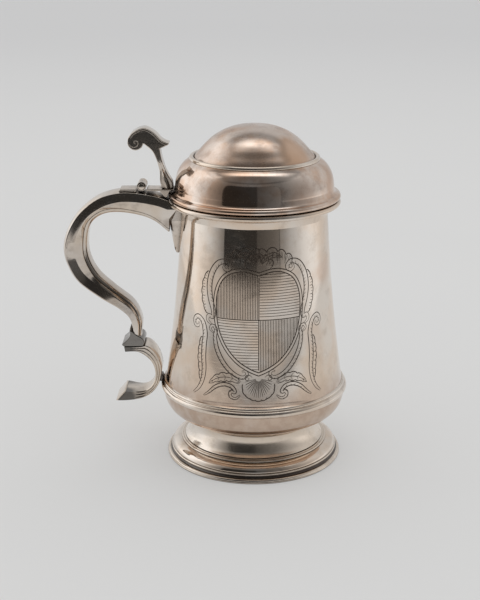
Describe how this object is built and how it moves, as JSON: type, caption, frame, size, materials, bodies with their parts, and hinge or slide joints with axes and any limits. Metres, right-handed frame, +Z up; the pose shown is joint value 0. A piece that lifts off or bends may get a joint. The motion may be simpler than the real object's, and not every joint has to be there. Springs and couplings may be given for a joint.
{
  "type": "lidded tankard",
  "caption": "Polished silver tankard with a flared barrel, banded foot, domed hinged lid, scroll thumbpiece and double-scroll side handle.",
  "frame": {"origin": "on the surface it stands on, under the middle of the whole object's footprint, handle included", "axes": "+Z up, -X towards the handle, -Y the engraved front seen in the picture"},
  "size_m": [0.1848, 0.1234, 0.2206],
  "materials": {
    "polished_silver": "hand-polished silver, soft warm grey, fine wear scratches",
    "worn_silver": "polished silver wire and edges, worn, tarnish left in the recesses",
    "cast_silver": "cast and chased silver, slightly softer polish, dark in the hollows"
  },
  "bodies": {
    "body": {"barrel": "polished_silver", "lip_moulding": "polished_silver", "mid_band": "polished_silver", "foot_collar": "polished_silver", "foot_reeded_wire": "worn_silver", "foot_flare": "polished_silver", "foot_base_wire": "worn_silver", "handle_upper_back": "polished_silver", "handle_upper_inside": "polished_silver", "handle_spur": "cast_silver", "handle_lower_back": "polished_silver", "handle_lower_inside": "polished_silver", "handle_end_plate": "worn_silver", "upper_drop": "cast_silver", "lower_socket": "cast_silver", "handle_hinge_leaf": "cast_silver", "handle_knuckle_1": "cast_silver", "handle_knuckle_3": "cast_silver", "handle_knuckle_5": "cast_silver", "hinge_pin": "worn_silver"},
    "lid": {"lid_cover": "polished_silver", "lid_step_wire": "worn_silver", "lid_rim_moulding": "polished_silver", "lid_bezel": "worn_silver", "lid_hinge_strap": "cast_silver", "lid_knuckle_2": "cast_silver", "lid_knuckle_4": "cast_silver", "thumbpiece": "cast_silver"}
  },
  "joints": [
    {"name": "lid_hinge", "type": "hinge", "parent": "body", "child": "lid", "pos_m": [-0.04077, 0, 0.1817], "axis": [0, -1, 0], "range_deg": [0, 84]}
  ]
}
